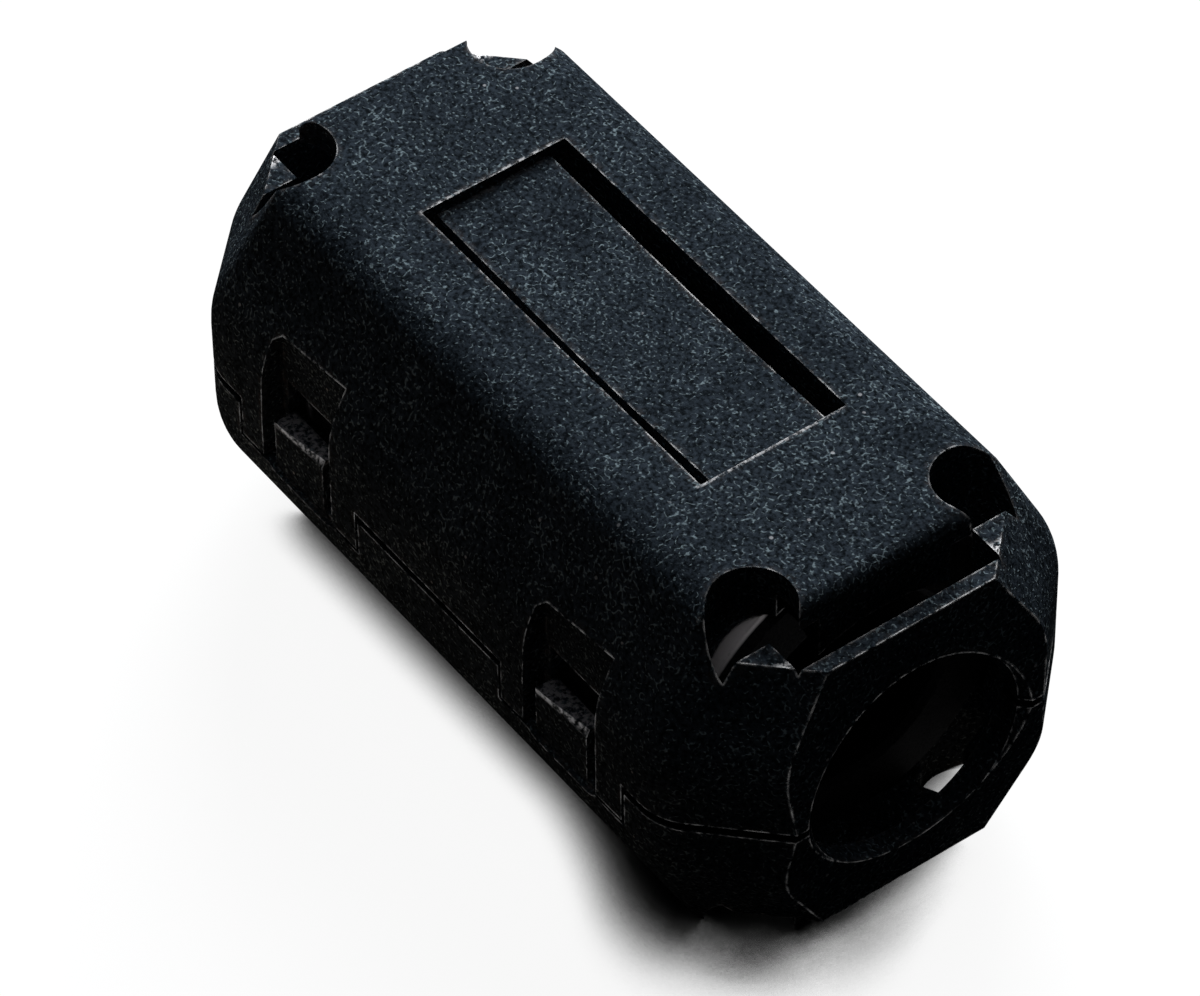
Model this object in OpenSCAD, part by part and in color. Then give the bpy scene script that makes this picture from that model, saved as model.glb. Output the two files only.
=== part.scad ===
// Clip-on ferrite bead: a ferrite tube split lengthwise, each half in its own half of a moulded
// case, that folds on two thin straps and snaps shut round a cable.
// The origin is the middle of the cable bore. +X runs along the bore, +Y points to the hinge,
// +Z is up, and the case parts at z = 0. All sizes are in millimetres.

/* [Ferrite core] */
// Length of the ferrite tube
core_length = 26.5; // [20:0.5:40]
// Outside diameter of the ferrite tube
core_diameter = 14.5; // [11:0.1:20]
// Diameter of the hole for the cable
bore_diameter = 9; // [5:0.1:10]
// Chamfer on the outer edge of each end of the tube
core_chamfer = 0.4; // [0.2:0.1:0.8]
// Chamfer at each mouth of the tube's hole
bore_chamfer = 0.25; // [0.1:0.05:0.5]
// Space between the tube and the case, all round and at each end
core_clearance = 0.1; // [0.05:0.01:0.3]

/* [Case] */
// Wall between the tube and each flat side of the case
side_wall = 1.75; // [1.5:0.05:3]
// Wall between the tube and the top and bottom faces
face_wall = 1.45; // [1.2:0.05:3]
// Hollow between the tube's end and the end wall
end_chamber = 2.7; // [2.2:0.1:5]
// How much smaller the hollow's radius is at the end wall
chamber_taper = 1.4; // [1:0.1:2]
// End wall, at the parting face
end_wall = 1.45; // [1.2:0.05:2.5]
// Height of the upper half's edge above the middle of the case
upper_edge = 0.04; // [0.02:0.01:0.3]
// Depth of the lower half's edge below the middle of the case
lower_edge = 0.34; // [0.1:0.01:0.5]
// Height of the upright part of each side, from the middle of the case
upright_height = 3; // [2:0.1:5]
// How far a side leans in above that, for each millimetre of height
side_lean = 0.5; // [0.3:0.05:0.6]
// Size along each side of the chamfer at the four upright corners
corner_chamfer = 3.55; // [2:0.05:4.5]
// Rounding between each chamfer and the long side next to it
corner_radius = 2.5; // [1:0.1:4]
// Rounding where each side starts to lean in
knee_radius = 5; // [3:0.5:12]
// Rounding of the long edges of the top and bottom faces
edge_radius = 2; // [0.5:0.1:3]

/* [Ends] */
// How far the ledge at each end lies below the top face
ledge_drop = 2.05; // [1.5:0.05:3]
// Distance from the top plate's end to the end of the case
plate_setback = 2.35; // [1.8:0.1:3]
// Rounding of the top plate's end edge
plate_radius = 0.6; // [0.1:0.05:0.8]
// How far each end face leans in between the parting face and the ledge
end_lean = 0.8; // [0.2:0.05:1.2]
// Width of the opening behind each end wall
trough_width = 9; // [6:0.1:11]
// Width of the rib that holds the tube's end
stop_width = 5.8; // [3:0.1:8]
// Height of the tube's end that each rib covers
stop_overlap = 0.85; // [0.5:0.05:2]
// Thickness of the top plate over the hollow
plate_thickness = 1.2; // [0.8:0.1:2]
// Diameter of the cable opening in the end walls
opening_diameter = 9.3; // [5:0.1:11]
// Rounded lip at the outside of the cable opening
opening_lip = 0.4; // [0.1:0.05:0.8]
// Diameter of the hole at each corner
corner_hole_diameter = 3.3; // [2:0.1:4.5]
// Distance from the end of the case to the middle of a corner hole
corner_hole_end = 3.55; // [2.5:0.1:5]
// Distance from the side of the case to the middle of a corner hole
corner_hole_side = 4.15; // [3:0.1:5]

/* [Spring window] */
// Distance from each end of the case to the window in the top face
window_end = 9.05; // [7:0.05:12]
// Width of the window
window_width = 6.45; // [4:0.05:9]
// How far the window lies from the middle of the case, towards the hinge
window_shift = 0.2; // [0:0.05:0.5]
// Width of the slot on each side of the spring tongue
window_slot = 0.66; // [0.4:0.02:1.5]
// Depth of the tongue below the top face where it starts
tongue_step = 0.5; // [0.3:0.05:0.8]
// Further depth of the tongue at its middle
tongue_bow = 0.2; // [0.1:0.02:0.5]
// Space between the middle of the tongue and the tube
tongue_gap = 0.03; // [0.01:0.01:0.1]

/* [Latches] */
// Distance from each end of the case to the middle of a latch
latch_end = 9.3; // [8.5:0.1:14]
// Width of the pad round each latch pocket
pad_width = 7.3; // [6:0.1:9]
// How far each pad reaches below the middle of the case
pad_drop = 1.9; // [1.2:0.1:2.4]
// Gap between a pad and its notch
pad_gap = 0.16; // [0.1:0.02:0.3]
// Width of each latch pocket
pocket_width = 4.2; // [3:0.1:5.5]
// Height of each pocket above the middle of the case
pocket_height = 4.6; // [3:0.1:5]
// How far each pocket's top edge rises towards the front end
pocket_rise = 0.3; // [0:0.05:0.6]
// Cut at the upper rear corner of each pocket
pocket_corner = 0.4; // [0.2:0.05:0.8]
// Depth of each pocket
pocket_depth = 1; // [0.7:0.05:1.2]
// Width of each latch arm
arm_width = 3.1; // [2:0.1:4]
// How far both arms stand from the middle of their pockets, towards the rear end
arm_shift = 0.3; // [0:0.05:0.5]
// How far each arm's face lies inside the side of the case
arm_inset = 0.25; // [0.1:0.05:0.5]
// How far the shallow recess below each arm reaches below the pads
recess_drop = 0.4; // [0.3:0.05:0.8]
// Height of each arm's top above the middle of the case
arm_height = 0.3; // [0.1:0.05:1]
// How far each arm's top rises towards the front end
arm_rise = 0.45; // [0:0.05:0.6]
// Space between an arm and the wall behind it
arm_gap = 0.1; // [0.05:0.01:0.3]
// How far the arm's nose reaches over the catch
nose_reach = 0.45; // [0.2:0.05:0.6]
// Depth of the catch below the middle of the case
catch_depth = 0.55; // [0.3:0.05:0.8]
// Height of the opening above the catch
catch_opening = 2.3; // [1.5:0.1:3]

/* [Hinge] */
// Distance from each end of the case to the middle of a hinge strap
hinge_end = 9.3; // [8:0.1:14]
// Width of each hinge strap
strap_width = 6; // [3:0.1:8]
// Thickness of each hinge strap
strap_thickness = 0.4; // [0.3:0.05:0.8]
// Inside radius of a strap's bend when the case is shut
strap_bend = 0.55; // [0.5:0.05:1.5]
// How far the lugs stand out from the side of the case
lug_reach = 0.4; // [0.3:0.05:1.5]
// How much wider than its strap each lug is, on each side
lug_margin = 0.3; // [0.1:0.05:0.6]

/* [Hidden] */
$fn = 64;

core_r = core_diameter / 2;
bore_r = bore_diameter / 2;
cavity_r = core_r + core_clearance;
half_width = cavity_r + side_wall;
half_height = cavity_r + face_wall;
stop_x = core_length / 2 + core_clearance;
chamber_x = stop_x + end_chamber;
half_length = chamber_x + end_wall;

// Every side, the chamfers too, has one profile, set at this distance from the Z axis.
chamfer_half = (half_length + half_width - corner_chamfer) / sqrt(2);
lean_angle = atan(side_lean);

ledge_z = half_height - ledge_drop;
plate_x = half_length - plate_setback;
corner_hole_r = corner_hole_diameter / 2;
corner_hole_x = half_length - corner_hole_end;
corner_hole_y = half_width - corner_hole_side;
corner_post_x = corner_hole_x + 0.45;
stop_z = core_r - stop_overlap;

window_x = half_length - window_end;
tongue_width = window_width - 2 * window_slot;
tongue_top = half_height - tongue_step;

latch_x = half_length - latch_end;
pocket_y = -half_width + pocket_depth;
arm_face_y = -half_width + arm_inset;
arm_back_y = pocket_y - arm_gap;

hinge_x = half_length - hinge_end;
lug_y = half_width + lug_reach;
strap_r = strap_bend + strap_thickness;

// Extra length that takes a cutter clear of the face that it cuts.
over = 1;

function unit(v) = v / norm(v);

// The material outside a rounding of radius r at the point p, between the directions a and b.
module corner_waste(p, a, b, r) {
    u = unit(a);
    v = unit(b);
    half_angle = acos(u * v) / 2;
    centre = p + unit(u + v) * r / sin(half_angle);
    run = r / tan(half_angle);
    difference() {
        polygon([p - unit(u + v) * 0.01, p + u * run, p + v * run]);
        translate(centre) circle(r);
    }
}

// Upright, knee, lean and top edge of one side, with its upright face at x = half. It starts at
// the height $edge, where the half of the case does.
module side_profile(half, rounded_edge = false) {
    knee = [half, upright_height];
    edge = [half - side_lean * (half_height - upright_height), half_height];
    difference() {
        polygon([[-2 * half_length, $edge], [half, $edge], knee, edge,
                 [-2 * half_length, half_height]]);
        corner_waste(knee, [0, -1], edge - knee, knee_radius);
        if (rounded_edge) corner_waste(edge, [-1, 0], knee - edge, edge_radius);
    }
}

// Bar across the case whose two long sides both have the side profile.
module bar(half, angle, rounded_edge = false) {
    rotate([0, 0, angle]) rotate([90, 0, 90])
        linear_extrude(4 * half_length, center = true)
            intersection() {
                side_profile(half, rounded_edge);
                mirror([1, 0]) side_profile(half, rounded_edge);
            }
}

// End view of the case's length: leaning end face, ledge and top plate.
module end_profile() {
    ledge_x = half_length - end_lean;
    difference() {
        polygon([[0, 0], [half_length, 0], [ledge_x, ledge_z], [plate_x, ledge_z],
                 [plate_x, half_height], [0, half_height]]);
        corner_waste([plate_x, half_height], [-1, 0], [0, -1], plate_radius);
    }
}

// What the rounding between a chamfer and a long side takes away.
module upright_corner_waste() {
    run = corner_radius * tan(22.5);
    corner = [half_length - corner_chamfer, half_width];
    centre = corner - [run, corner_radius];
    out = unit([1, 1]);
    difference() {
        linear_extrude(half_height + over)
            polygon([centre, centre + [0, corner_radius + over],
                     corner + [over * 0.6, over * 1.2], centre + out * (corner_radius + over)]);
        translate([centre[0], centre[1], 0]) rotate_extrude()
            intersection() {
                side_profile(corner_radius);
                square([corner_radius, half_height]);
            }
    }
}

module four_corners() {
    for (x = [0, 1], y = [0, 1])
        mirror([x, 0, 0]) mirror([0, y, 0]) children();
}

module both_ends() {
    for (x = [0, 1]) mirror([x, 0, 0]) children();
}

// Outer form of the upper half, with nothing cut into it.
module half_form() {
    difference() {
        intersection() {
            bar(half_width, 0, true);
            bar(chamfer_half, 45);
            bar(chamfer_half, -45);
            rotate([90, 0, 0]) linear_extrude(4 * half_width, center = true) {
                end_profile();
                mirror([1, 0]) end_profile();
            }
        }
        four_corners() upright_corner_waste();
    }
}

module at_latches() {
    for (x = [-latch_x, latch_x]) translate([x, 0, 0]) children();
}

module along_x(r, from, to) {
    translate([from, 0, 0]) rotate([0, 90, 0]) cylinder(r = r, h = to - from);
}

// Seat for the tube, and the hollow at each end with the ribs that keep the tube in place.
module cavity() {
    chamber_r = cavity_r - chamber_taper;
    profile = [[0, -chamber_x], [chamber_r, -chamber_x], [cavity_r, -stop_x],
               [cavity_r, stop_x], [chamber_r, chamber_x], [0, chamber_x]];
    difference() {
        rotate([0, 90, 0]) rotate_extrude() polygon(profile);
        both_ends() {
            translate([stop_x, -stop_width / 2, stop_z])
                cube([plate_x, stop_width, half_height]);
            for (side = [0, 1]) mirror([0, side, 0])
                translate([stop_x, stop_z, -stop_width / 2])
                    cube([plate_x, half_width, stop_width]);
        }
    }
}

// Opening behind an end wall, which runs in under the top plate on both sides of the rib.
module trough() {
    floor_z = stop_z - 2;
    translate([plate_x, -trough_width / 2, floor_z])
        cube([chamber_x - plate_x, trough_width, half_height]);
    for (side = [0, 1]) mirror([0, side, 0])
        translate([stop_x, stop_width / 2, floor_z])
            cube([chamber_x - stop_x, (trough_width - stop_width) / 2,
                  half_height - plate_thickness - floor_z]);
}

// Hole at a corner: down to the ledge, and into the hollow over the tube's end.
module corner_hole() {
    translate([corner_hole_x, corner_hole_y, 0]) {
        translate([0, 0, ledge_z]) cylinder(r = corner_hole_r, h = half_height);
        intersection() {
            cylinder(r = corner_hole_r, h = half_height);
            translate([-half_length, -half_width, ledge_z * 0.6])
                cube([half_length + corner_post_x - corner_hole_x, 2 * half_width, half_height]);
        }
    }
}

module cable_opening() {
    opening_r = opening_diameter / 2;
    rotate([0, 90, 0]) {
        cylinder(r = opening_r, h = half_length + over);
        translate([0, 0, half_length - opening_lip])
            cylinder(r1 = opening_r, r2 = opening_r + opening_lip + over,
                     h = opening_lip + over);
    }
}

// The window is cut away round a bowed tongue, which stays fixed at both ends.
module window() {
    middle_top = tongue_top - tongue_bow;
    middle_bottom = core_r + tongue_gap;
    translate([-window_x, -window_width / 2, 0])
        cube([2 * window_x, window_slot, half_height + over]);
    translate([-window_x, tongue_width / 2, 0])
        cube([2 * window_x, window_slot, half_height + over]);
    rotate([90, 0, 0]) linear_extrude(tongue_width + 0.02, center = true)
        polygon([[-window_x, half_height + over], [-window_x, tongue_top],
                 [-window_x / 3, middle_top + 0.03], [0, middle_top],
                 [window_x / 3, middle_top + 0.03],
                 [window_x, tongue_top], [window_x, half_height + over]]);
}

// Everything that both halves of the case share, above the height of the half's edge.
module half_shell(edge_height) {
    $edge = edge_height;
    difference() {
        half_form();
        cavity();
        both_ends() trough();
        four_corners() corner_hole();
        both_ends() cable_opening();
        translate([0, window_shift, 0]) window();
    }
}

// Stout wedge on the hinge side that carries one end of a strap.
module lug() {
    width = strap_width + 2 * lug_margin;
    translate([hinge_x - width / 2, 0, 0]) rotate([90, 0, 90]) linear_extrude(width)
        polygon([[half_width - 0.2, strap_bend - 0.1], [lug_y, strap_bend - 0.1],
                 [lug_y, strap_r + 0.1], [half_width - 0.2, strap_r + lug_reach + 0.4]]);
}

// Pad that reaches down from the upper half round a latch pocket.
module pad() {
    difference() {
        translate([latch_x - pad_width / 2, -half_width, -pad_drop])
            cube([pad_width, half_width, pad_drop + upper_edge + 0.01]);
        along_x(cavity_r, 0, half_length);
        translate([0, -cavity_r, -half_height]) cube([half_length, half_width, 2 * half_height]);
    }
}

// Pocket in the pad, with the opening that leaves the catch below it.
module pocket() {
    opening_width = pocket_width - 0.3;
    side = pocket_width / 2;
    low = pocket_height - pocket_rise / 2;
    translate([0, pocket_depth - half_width, 0]) rotate([90, 0, 0])
        linear_extrude(pocket_depth + over)
            polygon([[-side - 0.2, -half_height], [-side - 0.2, 0],
                     [-side, low - pocket_corner], [pocket_corner - side, low],
                     [side, low + pocket_rise], [side, -half_height]]);
    translate([-opening_width / 2, -half_width, -catch_depth])
        cube([opening_width, half_width - core_r / 2, catch_opening]);
}

// Notch in the lower half that takes a pad.
module notch() {
    width = pad_width + 2 * pad_gap;
    translate([latch_x - width / 2, -half_width - over, -pad_drop - pad_gap])
        cube([width, half_width, pad_drop + half_height]);
}

// Shallow recess below a latch arm.
module arm_recess() {
    r = 0.6;
    translate([-pocket_width / 2, -half_width - over, 0]) rotate([-90, 0, 0])
        linear_extrude(over + arm_inset) {
            square([pocket_width, pad_drop]);
            translate([r, 0]) square([pocket_width - 2 * r, pad_drop + recess_drop]);
            for (x = [r, pocket_width - r])
                translate([x, pad_drop + recess_drop - r]) circle(r);
        }
}

// Latch arm with its nose over the catch. Its top slopes along the case.
module arm() {
    nose_y = arm_back_y + nose_reach;
    nose_z = arm_gap - catch_depth;
    high = arm_height + arm_rise / 2;
    translate([-arm_shift, 0, 0]) difference() {
        translate([-arm_width / 2, 0, 0]) rotate([90, 0, 90]) linear_extrude(arm_width)
            polygon([[arm_face_y, -pad_drop - 1], [arm_face_y, high - 0.35],
                     [arm_face_y + 0.15, high], [arm_back_y, high], [nose_y, nose_z + 0.3],
                     [nose_y, nose_z], [arm_back_y, nose_z], [arm_back_y, -pad_drop - 1]]);
        rotate([90, 0, 0]) linear_extrude(2 * half_width)
            polygon([[-arm_width, high - arm_rise * 1.5], [arm_width / 2, high],
                     [arm_width, high + arm_rise / 2], [arm_width, half_height],
                     [-arm_width, half_height]]);
    }
}

module half_core() {
    profile = [[bore_r, bore_chamfer], [bore_r + bore_chamfer, 0], [core_r - core_chamfer, 0],
               [core_r, core_chamfer], [core_r, core_length - core_chamfer],
               [core_r - core_chamfer, core_length], [bore_r + bore_chamfer, core_length],
               [bore_r, core_length - bore_chamfer]];
    intersection() {
        translate([-core_length / 2, 0, 0]) rotate([0, 90, 0]) rotate_extrude() polygon(profile);
        translate([-core_length, -core_diameter, 0])
            cube([2 * core_length, 2 * core_diameter, core_diameter]);
    }
}

// Thin strap, bent in a half circle between two lugs.
module strap() {
    translate([hinge_x - strap_width / 2, lug_y, 0]) rotate([90, 0, 90])
        linear_extrude(strap_width)
            difference() {
                circle(strap_r);
                circle(strap_bend);
                translate([-2 * strap_r, -strap_r]) square(2 * strap_r);
            }
}

module upper_shell() {
    color("dimgray") {
        difference() {
            union() {
                half_shell(upper_edge);
                both_ends() pad();
            }
            at_latches() pocket();
        }
        both_ends() lug();
    }
}

module lower_shell() {
    color("slategray") {
        difference() {
            mirror([0, 0, 1]) half_shell(lower_edge);
            both_ends() notch();
            at_latches() arm_recess();
        }
        at_latches() arm();
        mirror([0, 0, 1]) both_ends() lug();
    }
}

module upper_core() {
    color("darkgray") half_core();
}

module lower_core() {
    color("gray") mirror([0, 0, 1]) half_core();
}

module hinge_strap_front() {
    color("black") strap();
}

module hinge_strap_rear() {
    color("black") mirror([1, 0, 0]) strap();
}

lower_shell();
lower_core();
upper_shell();
upper_core();
hinge_strap_front();
hinge_strap_rear();
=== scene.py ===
# Clip-on ferrite bead: the finish of its black moulded case, of the ferrite halves and of the
# straps that the case folds on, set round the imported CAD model. All lengths are in metres.
from math import cos, pi, radians, sin

import bmesh
import bpy
from mathutils import Matrix, Vector


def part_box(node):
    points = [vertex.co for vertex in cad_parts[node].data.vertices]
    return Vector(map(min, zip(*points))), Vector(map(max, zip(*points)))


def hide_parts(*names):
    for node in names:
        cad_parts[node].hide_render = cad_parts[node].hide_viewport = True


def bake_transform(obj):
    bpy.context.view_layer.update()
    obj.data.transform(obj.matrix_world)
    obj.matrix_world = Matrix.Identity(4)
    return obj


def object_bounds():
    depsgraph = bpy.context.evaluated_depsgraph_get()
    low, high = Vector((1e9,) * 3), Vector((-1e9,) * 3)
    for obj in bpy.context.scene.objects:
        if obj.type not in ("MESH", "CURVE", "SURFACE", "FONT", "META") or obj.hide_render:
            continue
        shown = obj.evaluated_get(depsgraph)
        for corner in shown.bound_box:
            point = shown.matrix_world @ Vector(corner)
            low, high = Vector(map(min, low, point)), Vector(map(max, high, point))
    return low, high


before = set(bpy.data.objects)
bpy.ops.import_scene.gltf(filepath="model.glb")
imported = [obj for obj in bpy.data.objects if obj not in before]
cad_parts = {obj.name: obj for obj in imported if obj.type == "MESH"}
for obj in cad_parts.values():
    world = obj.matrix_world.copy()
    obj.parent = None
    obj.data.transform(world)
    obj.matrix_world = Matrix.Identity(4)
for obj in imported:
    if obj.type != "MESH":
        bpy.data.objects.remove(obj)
cad_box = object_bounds()

# ---------------------------------------------------------------------------------------------
# Case: two halves moulded together in black nylon, which fold shut and latch. The mould was
# spark-eroded, so the faces have an even grain with small raised curls, and the pale glint on
# each curl is a painted highlight.
# Edges are rubbed here and there, and paler still near the ends and on the latch side, partly as
# painted highlights. The catches have left pale scuffs on the noses of the latch arms, which are
# partly painted highlights too.
MM = 0.001

# Places on the case, measured from its middle: where the latch side and the end walls begin, the
# small lands beside each ledge, the rim at each end of the spring window (both given pale
# scratches that are partly painted highlights), and the latch arms, which stand a little to one
# side and slope.
CASE_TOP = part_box("upper_shell")[1].z
LATCH_SIDE, END_WALL = 8.0 * MM, 15.5 * MM
LAND_SIDE, LAND_LOW, LAND_HIGH = 4.45 * MM, 3.2 * MM, 7.2 * MM
WINDOW_END, WINDOW_SIDE, WINDOW_RIM = 8.45 * MM, 3.05 * MM, 0.15 * MM
ARM_CENTRE, ARM_SIDE, ARM_SHIFT, ARM_SLOPE = 8.2 * MM, 1.9 * MM, 0.3 * MM, 0.145

NYLON_PITS, NYLON_GRAIN = (0.0050, 0.0066, 0.0084, 1), (0.0290, 0.0385, 0.0500, 1)
# Pale grey of the painted glint highlights on the curls.
PAINTED_GLINT_GREY = (0.170, 0.220, 0.245, 1)
# Grey of rubbed edges that are partly painted highlights.
RUBBED_AND_PAINTED_HIGHLIGHT_GREY = (0.082, 0.073, 0.071, 1)
# Grey of pale scratches and scuffs that are partly painted highlights.
SCUFF_AND_PAINTED_HIGHLIGHT_GREY = (0.26, 0.25, 0.27, 1)
DUST_GREY = (0.34, 0.35, 0.37, 1)


class Wire:
    """The output of a node, which can be added, multiplied and so on as a number can."""

    def __init__(self, finish, socket):
        self.finish, self.socket = finish, socket

    def math(self, operation, a, b=0.0):
        return self.finish.node("Math", {"operation": operation}, {0: a, 1: b})

    def __add__(self, other):
        return self.math("ADD", self, other)

    def __sub__(self, other):
        return self.math("SUBTRACT", self, other)

    def __rsub__(self, other):
        return self.math("SUBTRACT", other, self)

    def __mul__(self, other):
        return self.math("MULTIPLY", self, other)

    def __abs__(self):
        return self.math("ABSOLUTE", self)

    __radd__, __rmul__ = __add__, __mul__

    def sign(self):
        return self.math("SIGN", self)

    def step(self, low, high):
        """0 below low, 1 above high, and a smooth rise between them."""
        return self.finish.node("MapRange", {"interpolation_type": "SMOOTHSTEP"},
                                {"Value": self, "From Min": low, "From Max": high})

    def beyond(self, limit, blur):
        """0 short of a limit and 1 past it, with a smooth rise as far as blur on either side."""
        return self.step(limit - blur, limit + blur)


class Finish:
    """The nodes of one procedural material, or of the sky."""

    def __init__(self, owner):
        owner.use_nodes = True
        self.owner, self.tree = owner, owner.node_tree
        self.tree.nodes.clear()

    def node(self, kind, settings=None, values=None, output=0):
        """Adds a node, sets its properties and its sockets, and gives the wire from one output."""
        made = self.tree.nodes.new("ShaderNode" + kind)
        for name, value in (settings or {}).items():
            setattr(made, name, value)
        for name, value in (values or {}).items():
            if isinstance(value, Wire):
                self.tree.links.new(value.socket, made.inputs[name])
            else:
                made.inputs[name].default_value = value
        return Wire(self, made.outputs[output]) if made.outputs else None

    def place(self, shift=0.0):
        """Where a point lies on the piece, moved along each axis by shift."""
        point = self.node("TexCoord", output="Object")
        return self.node("Mapping", None, {"Vector": point, "Location": (shift, shift, shift)})

    def along(self, axis):
        """How far along an axis a point lies."""
        return self.node("SeparateXYZ", None, {0: self.place()}, axis)

    def noise(self, size, detail, rough, shift=0.0):
        return self.node("TexNoise", None, {"Vector": self.place(shift), "Scale": 1 / size,
                                            "Detail": detail, "Roughness": rough})

    def tint(self, mask, a, b):
        """Colour a where the mask is 0 and colour b where it is 1."""
        return self.node("Mix", {"data_type": "RGBA"}, {0: mask, 6: a, 7: b}, 2)

    def rounded(self, radius):
        """The way the surface faces if its edges were rounded off to a radius."""
        return self.node("Bevel", {"samples": 4}, {"Radius": radius})

    def edges(self, rounded):
        """1 along the edges of the piece, down to 0 where the rounding off of them ends."""
        flat = self.node("NewGeometry", output="Normal")
        same = self.node("VectorMath", {"operation": "DOT_PRODUCT"}, {0: rounded, 1: flat},
                         "Value")
        return (1 - same).step(0.0, 0.12)

    def bumps(self, height, depth, strength, rounded):
        return self.node("Bump", None, {"Height": height, "Distance": depth, "Strength": strength,
                                        "Normal": rounded})

    def surface(self, **values):
        """The surface itself, with every socket by its name."""
        return self.node("BsdfPrincipled", None,
                         {name.replace("_", " "): value for name, value in values.items()})

    def done(self, shader, output="OutputMaterial"):
        """Joins the shader to the output and gives the finished material or sky."""
        self.node(output, None, {"Surface": shader})
        return self.owner


def nylon(name, arms):
    """Moulded nylon, and pale scuffs, partly painted highlights, on the latch arm tops if any."""
    finish = Finish(bpy.data.materials.new(name))
    patches = finish.noise(2.6 * MM, 3.0, 0.6)
    blotches = finish.noise(0.42 * MM, 3.0, 0.65)
    rubbed = finish.noise(1.7 * MM, 2.0, 0.6).step(0.44, 0.60)
    grain = finish.noise(0.18 * MM, 2.0, 0.6)
    curls = finish.noise(0.28 * MM, 0.0, 0.5)
    broken = finish.noise(0.14 * MM, 1.0, 0.5, 0.7 * MM) + (patches - 0.5) * 0.35
    # The curls are raised in the bump, and the pale glint painted on them is a painted highlight.
    curl_bumps_and_painted_glints = (1 - abs(curls - 0.5).step(0.010, 0.095)) * broken.step(0.47, 0.70)

    from_centre, across, up = (abs(finish.along(axis)) for axis in "XYZ")
    latch_side = (0 - finish.along("Y")).beyond(LATCH_SIDE, 0.1 * MM)
    near_end = from_centre.beyond(END_WALL, 0.3 * MM)
    soft_edge = finish.rounded(0.12 * MM)
    # Rubbed edges, made paler near the ends and on the latch side: partly painted highlights.
    rubbed_lips_and_painted_highlights = finish.edges(soft_edge) * blotches.step(0.40, 0.62) * (
        0.25 + rubbed * 0.75 + latch_side * 0.6 + near_end * 0.6)
    wide_edge = finish.edges(finish.rounded(0.55 * MM))
    wear_and_painted_edge_highlights = wide_edge * blotches.step(0.40, 0.70) * 0.55 + rubbed_lips_and_painted_highlights * 0.5
    facing = finish.node("TexCoord", output="Normal")
    level = abs(finish.node("SeparateXYZ", None, {0: facing}, "Z")).step(0.80, 0.95)
    # Pale scratches on the level lands and on the window rim, partly painted highlights.
    lands = near_end * across.beyond(LAND_SIDE, 0.15 * MM) * (
        up.beyond(LAND_LOW, 0.2 * MM) * (1 - up.beyond(LAND_HIGH, 0.2 * MM)))
    rim = (1 - abs(from_centre - WINDOW_END).step(0.06 * MM, WINDOW_RIM)) * (
        1 - across.beyond(WINDOW_SIDE, 0.15 * MM)) * (
        up.beyond(CASE_TOP - WINDOW_RIM, 0.05 * MM) * 0.3)
    scratches = finish.noise(0.24 * MM, 3.0, 0.7, 2.1 * MM).step(0.44, 0.58)
    scrapes_and_painted_highlights = (lands + rim) * level * scratches
    specks = finish.node("TexVoronoi", None, {"Vector": finish.place(), "Scale": 1 / (1.1 * MM)})
    dust = (1 - specks.step(0.050, 0.085)) * patches.step(0.52, 0.56)

    mottle = ((grain - 0.30) * 2.4 * (0.55 + patches * 0.9)).step(0.0, 1.0)
    colour = finish.tint(mottle, NYLON_PITS, NYLON_GRAIN)
    for mask, shade in ((curl_bumps_and_painted_glints * 0.9, PAINTED_GLINT_GREY), (wear_and_painted_edge_highlights, RUBBED_AND_PAINTED_HIGHLIGHT_GREY),
                        (dust * 0.8, DUST_GREY), (scrapes_and_painted_highlights, SCUFF_AND_PAINTED_HIGHLIGHT_GREY)):
        colour = finish.tint(mask, colour, shade)
    shiny = rubbed_lips_and_painted_highlights * 0.5 + scrapes_and_painted_highlights * 0.8
    if arms:
        # Pale scuffs on the noses of the latch arms, partly a painted highlight.
        x = finish.along("X") + ARM_SHIFT
        from_middle = x - x.sign() * ARM_CENTRE
        nose = (finish.along("Z") - from_middle * ARM_SLOPE).step(0.0, 0.22 * MM)
        on_arm = latch_side * (1 - abs(from_middle).beyond(ARM_SIDE, 0.2 * MM))
        arm_scuffs_and_painted_highlights = on_arm * nose * finish.noise(0.22 * MM, 3.0, 0.7, 1.3 * MM).step(0.40, 0.60)
        colour = finish.tint(arm_scuffs_and_painted_highlights, colour, SCUFF_AND_PAINTED_HIGHLIGHT_GREY)
        shiny = shiny + arm_scuffs_and_painted_highlights * 0.6
    return finish.done(finish.surface(
        Base_Color=colour, Roughness=0.52 + (patches - 0.5) * 0.16 - wear_and_painted_edge_highlights * 0.14,
        Normal=finish.bumps(grain + curl_bumps_and_painted_glints * 0.8, 0.045 * MM, 0.7, soft_edge),
        Specular_IOR_Level=0.0, Coat_Weight=shiny, Coat_Roughness=0.3, Coat_IOR=2.2))


def cover(node, material):
    """Gives a CAD piece its one material."""
    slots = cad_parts[node].data.materials
    slots.clear()
    slots.append(material)


black_nylon = nylon("black_nylon", arms=False)
cover("upper_shell", black_nylon)
cover("lower_shell", nylon("black_nylon_with_arm_scuffs_and_painted_highlights", arms=True))


# ---------------------------------------------------------------------------------------------
# Ferrite: a half tube of pressed and sintered iron oxide in the seat of each half of the case.
# Its outside is grey, and near each end it is painted pale: painted light where light reaches it
# through the holes at the corners. The bore and the ends are near black, the faces that meet are
# lapped to a dark grey, and the edges have small chips.
TUBE_END, TUBE_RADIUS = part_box("upper_core")[1].xy
PAINTED_LIGHT_REACH = 3.2 * MM

BORE_AND_END_PORES, BORE_AND_END_BLACK = (0.005, 0.005, 0.006, 1), (0.017, 0.017, 0.018, 1)
LAPPED_PORES, LAPPED_GREY = (0.030, 0.029, 0.030, 1), (0.085, 0.081, 0.084, 1)
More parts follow.
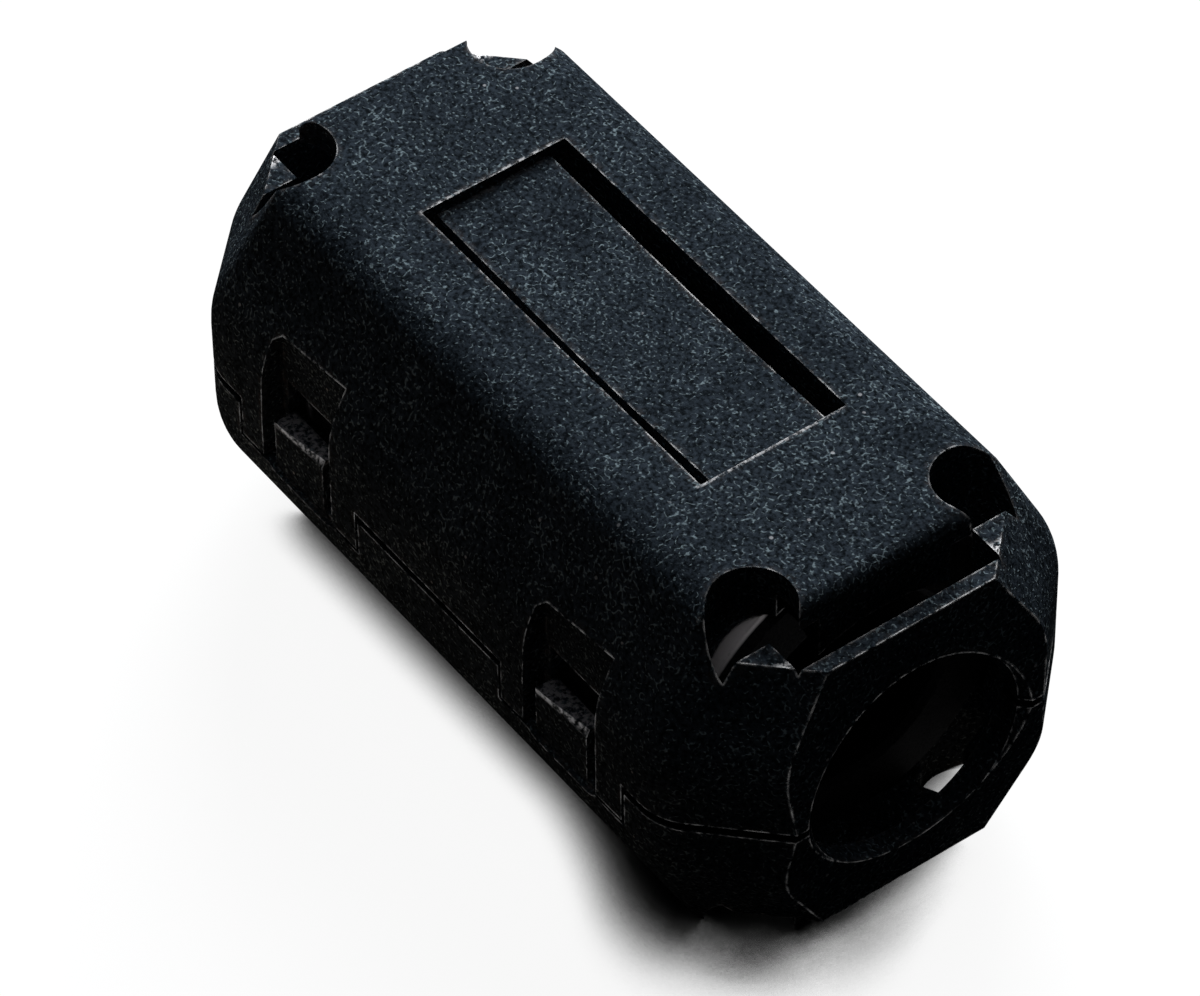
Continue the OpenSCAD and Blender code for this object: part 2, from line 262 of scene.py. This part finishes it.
# Pale greys of the painted light near the ends of the tube.
PAINTED_LIGHT_DIM, PAINTED_LIGHT_BRIGHT = (0.680, 0.630, 0.642, 1), (0.800, 0.743, 0.758, 1)
CHIPPED_GREY = (0.110, 0.104, 0.107, 1)


def ferrite():
    """Sintered ferrite, lapped where the two halves meet, with painted light near its ends."""
    finish = Finish(bpy.data.materials.new("sintered_ferrite"))
    dusting = finish.noise(0.07 * MM, 3.0, 0.7)
    pores = finish.noise(0.13 * MM, 3.0, 0.7, 0.4 * MM).step(0.36, 0.64)
    cloud = finish.noise(1.8 * MM, 3.0, 0.6).step(0.3, 0.7)
    chips = finish.edges(finish.rounded(0.22 * MM)) * (
        finish.noise(0.8 * MM, 2.0, 0.6).step(0.52, 0.62))
    y, z = finish.along("Y"), finish.along("Z")
    outside = (y * y + z * z).step((TUBE_RADIUS - 0.13 * MM) ** 2, (TUBE_RADIUS - 0.05 * MM) ** 2)
    # Painted light: the outside near each end is painted pale where light comes in through the
    # corner holes.
    painted_light_near_ends = outside * abs(finish.along("X")).beyond(TUBE_END - PAINTED_LIGHT_REACH, 0.25 * MM)
    lapped = 1 - abs(z).step(0.02 * MM, 0.05 * MM)

    black = finish.tint(pores, BORE_AND_END_PORES, BORE_AND_END_BLACK)
    grey = finish.tint(pores * 0.6 + cloud * 0.4, LAPPED_PORES, LAPPED_GREY)
    pale = finish.tint(pores * 0.3 + cloud * 0.7, PAINTED_LIGHT_DIM, PAINTED_LIGHT_BRIGHT)
    colour = finish.tint(painted_light_near_ends, finish.tint(outside * 0.8, black, grey), pale)
    colour = finish.tint(lapped, colour, grey)
    colour = finish.tint(chips * 0.5, colour, CHIPPED_GREY)
    return finish.done(finish.surface(
        Base_Color=colour, Roughness=0.62 + (dusting - 0.5) * 0.3 - lapped * 0.2,
        Normal=finish.bumps(dusting + pores, 0.012 * MM, 0.6, finish.rounded(0.05 * MM)),
        Specular_IOR_Level=0.01, Coat_Weight=painted_light_near_ends * 0.8, Coat_Roughness=0.55, Coat_IOR=2.4))


sintered_ferrite = ferrite()
for core in ("upper_core", "lower_core"):
    cover(core, sintered_ferrite)


# ---------------------------------------------------------------------------------------------
# Strap hinges: two thin strips of the same nylon as the case, moulded with it, that join the
# halves behind. Each is built as a fixed half loop from one lug to the other.
STRAP_THICKNESS = 0.4 * MM
for end in ("front", "rear"):
    node = "hinge_strap_" + end
    low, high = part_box(node)
    pivot_z = (low.z + high.z) / 2
    outer = (high.z - low.z) / 2
    root_y = high.y - outer
    loop = bmesh.new()
    corners = [loop.verts.new((x, root_y, pivot_z - radius)) for x, radius in (
        (low.x, outer), (low.x, outer - STRAP_THICKNESS),
        (high.x, outer - STRAP_THICKNESS), (high.x, outer))]
    bmesh.ops.spin(loop, geom=[loop.faces.new(corners)], cent=(0, root_y, pivot_z),
                   axis=(1, 0, 0), angle=pi, steps=36, use_duplicate=False)
    bmesh.ops.recalc_face_normals(loop, faces=loop.faces)
    mesh = bpy.data.meshes.new("strap_" + end)
    loop.to_mesh(mesh)
    loop.free()
    mesh.materials.append(black_nylon)
    strap = bpy.data.objects.new("strap_" + end, mesh)
    bpy.context.scene.collection.objects.link(strap)
    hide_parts(node)
    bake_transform(strap)

# ---------------------------------------------------------------------------------------------
# Studio: a wide sheet of pale paper that shows white, a dim sky, and three soft square lamps,
# one overhead and two high behind the hinge side, so that the near end stays dark.
FLOOR_RADIUS, LAMP_DISTANCE = 600 * MM, 250 * MM
DAYLIGHT = (0.96, 0.98, 1.0)
PAPER_GREY, WARM_BOUNCE, DULL_BOUNCE = (
    (0.10, 0.10, 0.10, 1), (0.64, 0.48, 0.36, 1), (0.05, 0.05, 0.05, 1))
DARK, WHITE = (0, 0, 0, 1), (1, 1, 1, 1)

sheet = bmesh.new()
bmesh.ops.create_circle(sheet, cap_ends=True, radius=FLOOR_RADIUS, segments=96)
bmesh.ops.translate(sheet, verts=sheet.verts, vec=(0, 0, cad_box[0].z))
mesh = bpy.data.meshes.new("floor")
sheet.to_mesh(mesh)
sheet.free()
floor = bpy.data.objects.new("floor", mesh)
bpy.context.scene.collection.objects.link(floor)


def seen(finish):
    """1 for what the camera sees straight, in a shine or through glass, and 0 for light."""
    rays = [finish.node("LightPath", output="Is %s Ray" % kind)
            for kind in ("Camera", "Glossy", "Transmission")]
    return (rays[0] + rays[1] + rays[2]).step(0.0, 1.0)


def pale_paper():
    """Paper that looks white, throws a little warm light at the latch side of the case, and
    has a painted shadow close to the case, darkest under its near corner."""
    finish = Finish(bpy.data.materials.new("white_paper"))
    shown = seen(finish)
    x, latchward = finish.along("X"), 0 - finish.along("Y")
    by_the_case = (1 - latchward.beyond(37 * MM, 9 * MM)) * (1 - x.beyond(17 * MM, 5 * MM))
    bounce = finish.tint(by_the_case, DULL_BOUNCE, WARM_BOUNCE)
    near_corner = x.beyond(9 * MM, 5 * MM) * latchward.beyond(0.0, 4 * MM)
    open_air = finish.node("AmbientOcclusion", {"samples": 14},
                           {"Distance": 2.5 * MM + near_corner * (2.5 * MM)}, "AO")
    # Painted shadow: the paper's white glow is dimmed where the case closes off the open air, and
    # more under its near corner.
    shadow = ((1 - open_air) * (1 + near_corner * 0.6)).step(0.25, 0.75)
    return finish.done(finish.surface(
        Base_Color=finish.tint(shown, bounce, PAPER_GREY), Roughness=0.9,
        Specular_IOR_Level=0.0, Emission_Strength=0.93,
        Emission_Color=finish.tint(shown * (1 - shadow), DARK, WHITE)))


mesh.materials.append(pale_paper())

sky = Finish(bpy.data.worlds.new("sky"))
bpy.context.scene.world = sky.done(sky.node("Background", None, {
    "Color": WHITE, "Strength": 0.004 + seen(sky) * 0.996}), "OutputWorld")


def soft_lamp(name, direction, size, radiance):
    """Square lamp that faces the case. Its power follows from its size and its brightness."""
    lamp = bpy.data.lights.new(name, "AREA")
    lamp.size = size
    lamp.energy = pi * size * size * radiance
    lamp.color = DAYLIGHT
    placed = bpy.data.objects.new(name, lamp)
    towards = Vector(direction).normalized()
    placed.location = towards * LAMP_DISTANCE
    placed.rotation_mode = "QUATERNION"
    placed.rotation_quaternion = towards.to_track_quat("Z", "Y")
    bpy.context.scene.collection.objects.link(placed)


soft_lamp("top_lamp", (0.02, -0.04, 1.0), 100 * MM, 1.5)
soft_lamp("high_lamp", (-0.34, 0.52, 0.78), 120 * MM, 7)
soft_lamp("far_lamp", (-0.62, 0.56, 0.55), 100 * MM, 21)
bpy.context.scene.view_settings.view_transform = "Standard"

# ---------------------------------------------------------------------------------------------
# Camera: a long lens that looks down on the top, the latch side and one end of the case. It is
# turned about the middle of the case, rolled a little, and then moved across and up.
AZIMUTH, ELEVATION, ROLL = radians(54.15), radians(47.11), radians(0.744)
ACROSS, UPWARD, DISTANCE = -1.040 * MM, -0.758 * MM, 282.98 * MM
FOCAL_LENGTH, FILM_WIDTH = 231.03, 36  # these two in millimetres, as a lens is marked

right = Vector((cos(AZIMUTH), sin(AZIMUTH), 0))
back = Vector((sin(AZIMUTH) * cos(ELEVATION), -cos(AZIMUTH) * cos(ELEVATION), sin(ELEVATION)))
up = back.cross(right)
right, up = right * cos(ROLL) - up * sin(ROLL), right * sin(ROLL) + up * cos(ROLL)
lens = bpy.data.cameras.new("long_lens")
lens.lens, lens.sensor_width = FOCAL_LENGTH, FILM_WIDTH
lens.clip_start, lens.clip_end = 10 * MM, 10000 * MM
camera = bpy.data.objects.new("camera", lens)
camera.matrix_world = Matrix.Translation(right * ACROSS + up * UPWARD + back * DISTANCE) @ Matrix(
    (right, up, back)).transposed().to_4x4()
bpy.context.scene.collection.objects.link(camera)
bpy.context.scene.camera = camera
